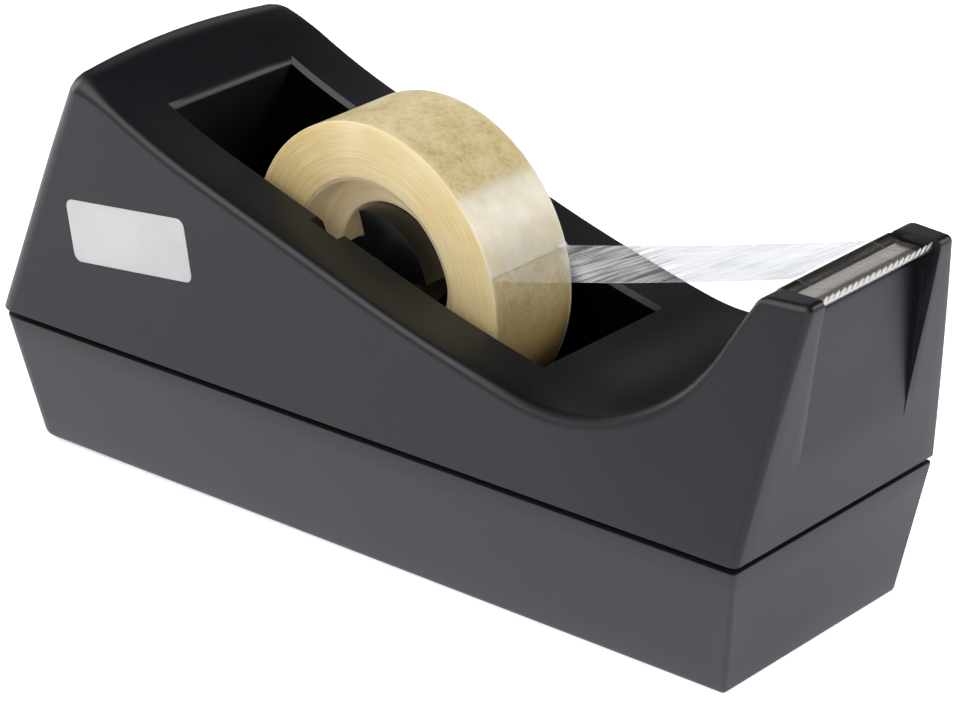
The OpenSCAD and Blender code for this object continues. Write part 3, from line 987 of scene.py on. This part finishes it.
def film_outside(tree, turn, y, where):
    """Golden outside with faint pale veins, a painted whitish highlight on its upper front, painted
    shade towards its underside and a painted paler glow along its edges.
    """
    warp = node(tree, "ShaderNodeTexNoise", Vector=where, Scale=420.0, Detail=4.0).outputs["Color"]
    pushed = calc(tree, "MULTIPLY_ADD", warp, (4 * MM, 4 * MM, 4 * MM), where,
                  kind="VectorMath", result="Vector")
    cells = node(tree, "ShaderNodeTexVoronoi", feature="DISTANCE_TO_EDGE", Vector=pushed,
                 Scale=560.0, Randomness=1.0)
    veins = ramp(tree, cells.outputs["Distance"], (0.0, 0.42), (0.06, 0.22), (0.25, 0.0))
    blotch = noise_at(tree, where, 210.0, 6.0, 0.68)
    gold = ramp(tree, blotch, (0.3, (0.55, 0.40, 0.15)), (0.5, (0.68, 0.54, 0.26)),
                (0.72, (0.80, 0.70, 0.42)))
    veined = mix_colour(tree, veins, gold, (0.86, 0.78, 0.54))
    # painted shade: the outside darkens towards the underside of the roll
    low = fade(tree, turn, 0.18, -0.35, 0.0, 0.75)
    painted_underside_shade = mix_colour(tree, low, veined, (0.42, 0.27, 0.07))
    pale = ramp(tree, blotch, (0.3, (0.78, 0.67, 0.45)), (0.5, (0.82, 0.75, 0.58)),
                (0.7, (0.88, 0.84, 0.70)))
    # painted highlight: a whitish band with a wavy border on the upper front of the roll
    wavy = plus(tree, turn, blotch, 0.10)
    painted_sheen = calc(tree, "MULTIPLY", fade(tree, wavy, 0.29, 0.30), fade(tree, wavy, 0.86, 0.76))
    mottled = mix_colour(tree, painted_sheen, painted_underside_shade, pale)
    # fine line where the strip leaves the roll
    peel = fade(tree, distance_from(tree, turn, PEEL_TURN), 0.0, 0.011, 0.6, 0.0, smooth=False)
    lined = mix_colour(tree, peel, mottled, (0.50, 0.41, 0.25))
    # painted glow: paler along both edges of the outside, standing in for light coming through the clear
    # film
    to_edge = distance_from(tree, y, TAPE_MIDDLE * MM)
    glow = fade(tree, to_edge, 8.7 * MM, 9.4 * MM, 0.0, 0.6, smooth=False)
    return blotch, mix_colour(tree, glow, lined, (0.88, 0.83, 0.68))


def wound_film():
    """Amber film: layer lines on the faces, trapped-air veins on the outside."""
    material, tree, shader = new_material("wound_film")
    radius, turn, y, where = polar(tree)
    rings, faces = film_faces(tree, radius, turn, where)
    blotch, outside = film_outside(tree, turn, y, where)
    is_out = fade(tree, radius, (ROLL_R - 0.10) * MM, (ROLL_R - 0.03) * MM, smooth=False)
    set_inputs(tree, shader, Base_Color=mix_colour(tree, is_out, faces, outside),
               Roughness=mix_colour(tree, is_out, (0.5, 0.5, 0.5), (0.36, 0.36, 0.36)),
               Subsurface_Weight=0.4, Subsurface_Radius=(1.0, 0.7, 0.35), Subsurface_Scale=4.0 * MM)
    bump(tree, shader, plus(tree, rings, blotch, 0.3), 0.3, 0.05)
    return material


def core_board():
    """Tan cardboard core with faint lines round it, darker beyond the counterbore, and a faint painted
    glow.
    """
    material, tree, shader = new_material("core_board")
    radius, turn, y, _ = polar(tree)
    around = node(tree, "ShaderNodeCombineXYZ", X=calc(tree, "MULTIPLY", radius, 1500.0), Y=turn,
                  Z=calc(tree, "MULTIPLY", y, 600.0))
    lines = noise_at(tree, around.outputs[0], 1.0, 4.0, 0.6)
    board = ramp(tree, lines, (0.3, (0.78, 0.60, 0.35)), (0.7, (0.92, 0.76, 0.50)))
    rim = fade(tree, radius, CORE_RECESS * MM, (CORE_RECESS + 0.15) * MM, smooth=False)
    # painted glow: a faint warm emission lifts the core, standing in for light coming through the roll
    set_inputs(tree, shader, Base_Color=mix_colour(tree, rim, board, (0.34, 0.27, 0.17)),
               Roughness=ramp(tree, lines, (0.3, 0.42), (0.7, 0.55)),
               Subsurface_Weight=0.5, Subsurface_Radius=(1.0, 0.7, 0.45), Subsurface_Scale=5.0 * MM,
               Emission_Color=(0.9, 0.68, 0.38), Emission_Strength=0.07)
    bump(tree, shader, lines, 0.25, 0.04)
    return material


def clear_film():
    """The strip: clear film with diagonal streaks and brighter edges, its colour painted whitish before
    the dark housing and grey before the white floor.
    """
    material, tree, shader = new_material("clear_film")
    where, at = object_axes(tree)
    aimed = node(tree, "ShaderNodeMapping", Rotation=(0, 0, -STREAK_TURN), Vector=where)
    drawn = node(tree, "ShaderNodeMapping", Scale=(70, 800, 70), Vector=aimed.outputs[0])
    streaks = noise_at(tree, drawn.outputs[0], 1.0, 5.0, 0.65)
    cloud = noise_at(tree, where, 70.0, 2.0)
    body = plus(tree, streaks, cloud, 0.6)
    # how opaque it is: on the roll, in the air, over the blade and along the edges
    slant = calc(tree, "DOT_PRODUCT", where, (1, 1.2, 0), kind="VectorMath")
    off_roll = fade(tree, slant, 24 * MM, 29 * MM)
    forward = fade(tree, slant, 40 * MM, 52 * MM)
    over_steel = fade(tree, at["X"], 81.3 * MM, 81.9 * MM, smooth=False)
    rim = fade(tree, distance_from(tree, at["Y"], TAPE_MIDDLE * MM), 9.2 * MM, 9.5 * MM, smooth=False)
    cover = ramp(tree, body, (0.66, 0.14), (0.78, 0.42), (0.92, 0.85))
    faint = ramp(tree, body, (0.68, 0.27), (0.85, 0.31), (0.95, 0.37))
    in_air = mix_colour(tree, forward, cover, faint)
    middle = mix_colour(tree, over_steel, in_air, (0.03, 0.03, 0.03))
    edged = mix_colour(tree, rim, middle, (0.36, 0.36, 0.36))
    alpha = mix_colour(tree, off_roll, (0.08, 0.08, 0.08), edged)
    # painted light and shade: whitish colour where the film lies before the dark housing, grey where it
    # lies before the white floor
    film_lit_over_dark = ramp(tree, streaks, (0.35, (0.62, 0.63, 0.65)), (0.65, (0.86, 0.87, 0.88)))
    film_shaded_over_white = ramp(tree, streaks, (0.35, (0.13, 0.12, 0.11)), (0.65, (0.26, 0.25, 0.235)))
    set_inputs(tree, shader, Alpha=alpha, Base_Color=mix_colour(tree, forward, film_lit_over_dark, film_shaded_over_white),
               Roughness=ramp(tree, cloud, (0.3, 0.14), (0.7, 0.24)))
    bump(tree, shader, streaks, 0.15, 0.03)
    return material


def label_film():
    """Matt printed label stock, plain."""
    material, tree, shader = new_material("label_stock")
    at = coordinates(tree)
    fibre = noise_at(tree, at, 1400.0, 3.0)
    both = plus(tree, noise_at(tree, at, 90.0, 2.0), fibre, 0.4)
    set_inputs(tree, shader,
               Base_Color=ramp(tree, both, (0.45, (0.43, 0.43, 0.43)), (0.95, (0.485, 0.49, 0.485))),
               Roughness=ramp(tree, both, (0.4, 0.34), (1.0, 0.46)))
    bump(tree, shader, fibre, 0.15, 0.01)
    return material


def rubber():
    """Matt black rubber with a fine bloom."""
    material, tree, shader = new_material("foot_rubber")
    grain = noise_at(tree, coordinates(tree), 1100.0, 4.0)
    set_inputs(tree, shader,
               Base_Color=ramp(tree, grain, (0.3, (0.012, 0.012, 0.012)), (0.75, (0.035, 0.035, 0.036))),
               Roughness=ramp(tree, grain, (0.3, 0.75), (0.7, 0.92)))
    bump(tree, shader, grain, 0.4, 0.04)
    return material


def cast_iron():
    """Rough grey casting."""
    material, tree, shader = new_material("cast_iron")
    grain = noise_at(tree, coordinates(tree), 420.0, 6.0, 0.7)
    set_inputs(tree, shader, Metallic=0.6,
               Base_Color=ramp(tree, grain, (0.3, (0.05, 0.048, 0.045)), (0.7, (0.13, 0.12, 0.115))),
               Roughness=ramp(tree, grain, (0.3, 0.55), (0.7, 0.8)))
    bump(tree, shader, grain, 0.6, 0.2)
    return material


# ---------------------------------------------------------------- put together
def place(piece, material, body, slot, *nodes):
    """One finished piece: its material, the body it moves with and the node it stands for."""
    piece.data.materials.clear()
    piece.data.materials.append(material)
    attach(piece, body)
    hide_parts(*nodes)
    return piece


def assign(name, material):
    """Gives a carried-over CAD node its procedural material."""
    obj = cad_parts[name]
    if not obj.material_slots:
        obj.data.materials.append(material)
    for place_in in obj.material_slots:
        place_in.material = material


def paint_well_shade(shell):
    """Gives the upright walls of the well their own darker material, as painted shade."""
    shell.data.materials.append(well_shade_plastic())
    for face in shell.data.polygons:
        c = face.center / MM
        inside = WELL_REAR - 0.3 < c.x < WELL_FRONT + 0.3 and abs(c.y) < WELL_HALF + 0.15
        if inside and abs(face.normal.z) < 0.5:
            face.material_index = 1


def label_plate():
    """The side label, standing very slightly proud of the housing."""
    label = refined_copy("side_label", "label_plate", 0.05)
    for vertex in label.data.vertices:
        if vertex.co.y < -(HALF_W - 0.1) * MM:
            vertex.co.y -= LABEL_PROUD * MM
    return label


def make_object_pieces():
    housing_mat = housing_plastic()
    base_mat = base_plastic()
    hub_mat = hub_plastic()
    blade_mat = blade_steel()
    pin_mat = brushed_steel("pin_steel", (0.60, 0.60, 0.61), 0.20, (900, 60, 900))
    screw_mat = brushed_steel("screw_steel", (0.56, 0.56, 0.57), 0.30, (700, 700, 60))

    shell = place(housing(), housing_mat, "stand", "housing_plastic", "upper_housing")
    paint_well_shade(shell)
    place(base(), base_mat, "stand", "base_plastic", "base_tray")
    place(blade(), blade_mat, "stand", "blade_steel", "cutter_blade")
    place(label_plate(), label_film(), "stand", "label", "side_label")
    rubber_mat = rubber()
    for name in FEET:
        place(refined_copy(name, name + "_pad", 0.25), rubber_mat, "stand", "foot_rubber", name)
    assign("ballast_block", cast_iron())
    assign("base_screws", screw_mat)
    place(refined_copy("axle_pin", "axle_rod", 0.35), pin_mat, "axle", "pin_steel", "axle_pin")
    place(tape_strip(), clear_film(), "axle", "tape_film", "tape_lead")
    place(refined_copy("hub_spool", "hub_wings", 0.35), hub_mat, "roll", "hub_plastic", "hub_spool")
    place(core_ring(), core_board(), "roll", "core", "tape_core")
    place(wound_roll(), wound_film(), "roll", "wound_tape", "tape_roll")


# ---------------------------------------------------------------- studio
CAMERA_AZIMUTH = math.radians(43.346)
CAMERA_ELEVATION = math.radians(23.701)
CAMERA_ROLL = math.radians(-2.755)
CAMERA_DISTANCE = 0.5380
CAMERA_TARGET = Vector((0.06994, -0.06445, 0.07519))
LIGHT_TARGET = Vector((0, 0, 0.03))
FLOOR_EDGE = 3.0
# glow of the floor: near the object it rises from dark to bright, further out it is even
FLOOR_DARK = 0.52
FLOOR_BRIGHT = 1.0
FLOOR_FAR = 0.72


def camera():
    a, e, r = CAMERA_AZIMUTH, CAMERA_ELEVATION, CAMERA_ROLL
    back = Vector((math.sin(a) * math.cos(e), -math.cos(a) * math.cos(e), math.sin(e)))
    right = Vector((math.cos(a), math.sin(a), 0))
    up = back.cross(right)
    across_view = math.cos(r) * right + math.sin(r) * up
    up_view = -math.sin(r) * right + math.cos(r) * up
    data = bpy.data.cameras.new("camera")
    data.sensor_width = 36
    data.lens = 140.67
    data.shift_x = -0.0153
    data.shift_y = -0.0103
    data.clip_start = 0.01
    data.clip_end = 50
    obj = link("camera", data)
    turn = Matrix((across_view, up_view, back)).transposed().to_4x4()
    obj.matrix_world = Matrix.Translation(CAMERA_TARGET + back * CAMERA_DISTANCE) @ turn
    bpy.context.scene.camera = obj


def area_light(name, position, size, size_y, power):
    """A rectangular softbox, in metres and watts, aimed at the object."""
    data = bpy.data.lights.new(name, "AREA")
    data.shape = "RECTANGLE"
    data.size = size
    data.size_y = size_y
    data.energy = power
    obj = link(name, data)
    obj.location = position
    obj.rotation_mode = "QUATERNION"
    obj.rotation_quaternion = (LIGHT_TARGET - Vector(position)).to_track_quat("-Z", "Y")


def floor_paper():
    """White paper that gives off light of its own, less towards the left of the picture."""
    material, tree, shader = new_material("floor_paper")
    where = tree.nodes.new("ShaderNodeTexCoord").outputs["Object"]
    along = calc(tree, "DOT_PRODUCT", where, (1, 1, 0), kind="VectorMath")
    glow = fade(tree, along, -0.20, 0.22, FLOOR_DARK, FLOOR_BRIGHT)
    far = fade(tree, calc(tree, "LENGTH", where, kind="VectorMath"), 0.22, 0.42)
    level = node(tree, "ShaderNodeMix", data_type="FLOAT", Factor=far, A=glow, B=FLOOR_FAR)
    tone = noise_at(tree, coordinates(tree), 6.0, 2.0)
    set_inputs(tree, shader, Base_Color=ramp(tree, tone, (0.3, 0.86), (0.7, 0.88)), Roughness=0.9,
               Specular_IOR_Level=0.0, Emission_Color=(0.93, 0.97, 1.06),
               Emission_Strength=level.outputs["Result"])
    return material


def paper_floor():
    mesh = bpy.data.meshes.new("floor")
    edge = FLOOR_EDGE
    corners = [(-edge, -edge, 0), (edge, -edge, 0), (edge, edge, 0), (-edge, edge, 0)]
    mesh.from_pydata(corners, [], [(0, 1, 2, 3)])
    floor = link("floor", mesh)
    mesh.materials.append(floor_paper())


def studio():
    paper_floor()
    area_light("near_left", (-0.36, -0.70, 1.0), 1.0, 1.0, 12.4)
    area_light("back_right", (0.62, 0.68, 0.48), 0.45, 0.35, 4.0)
    area_light("far_left", (-0.75, 0.85, 0.60), 0.5, 0.4, 0.6)
    area_light("near_fill", (-0.35, -1.2, 0.45), 1.0, 0.5, 1.5)
    area_light("low_rear", (-1.05, -0.10, 0.42), 0.35, 0.7, 4.0)
    area_light("camera_fill", (0.75, -1.0, 0.60), 0.7, 0.5, 5.0)
    world = bpy.data.worlds.new("world")
    world.use_nodes = True
    background = world.node_tree.nodes["Background"]
    background.inputs["Color"].default_value = (0.9, 0.95, 1.0, 1)
    background.inputs["Strength"].default_value = 0.05
    bpy.context.scene.world = world
    bpy.context.scene.view_settings.view_transform = "Standard"


camera()
make_object_pieces()
studio()
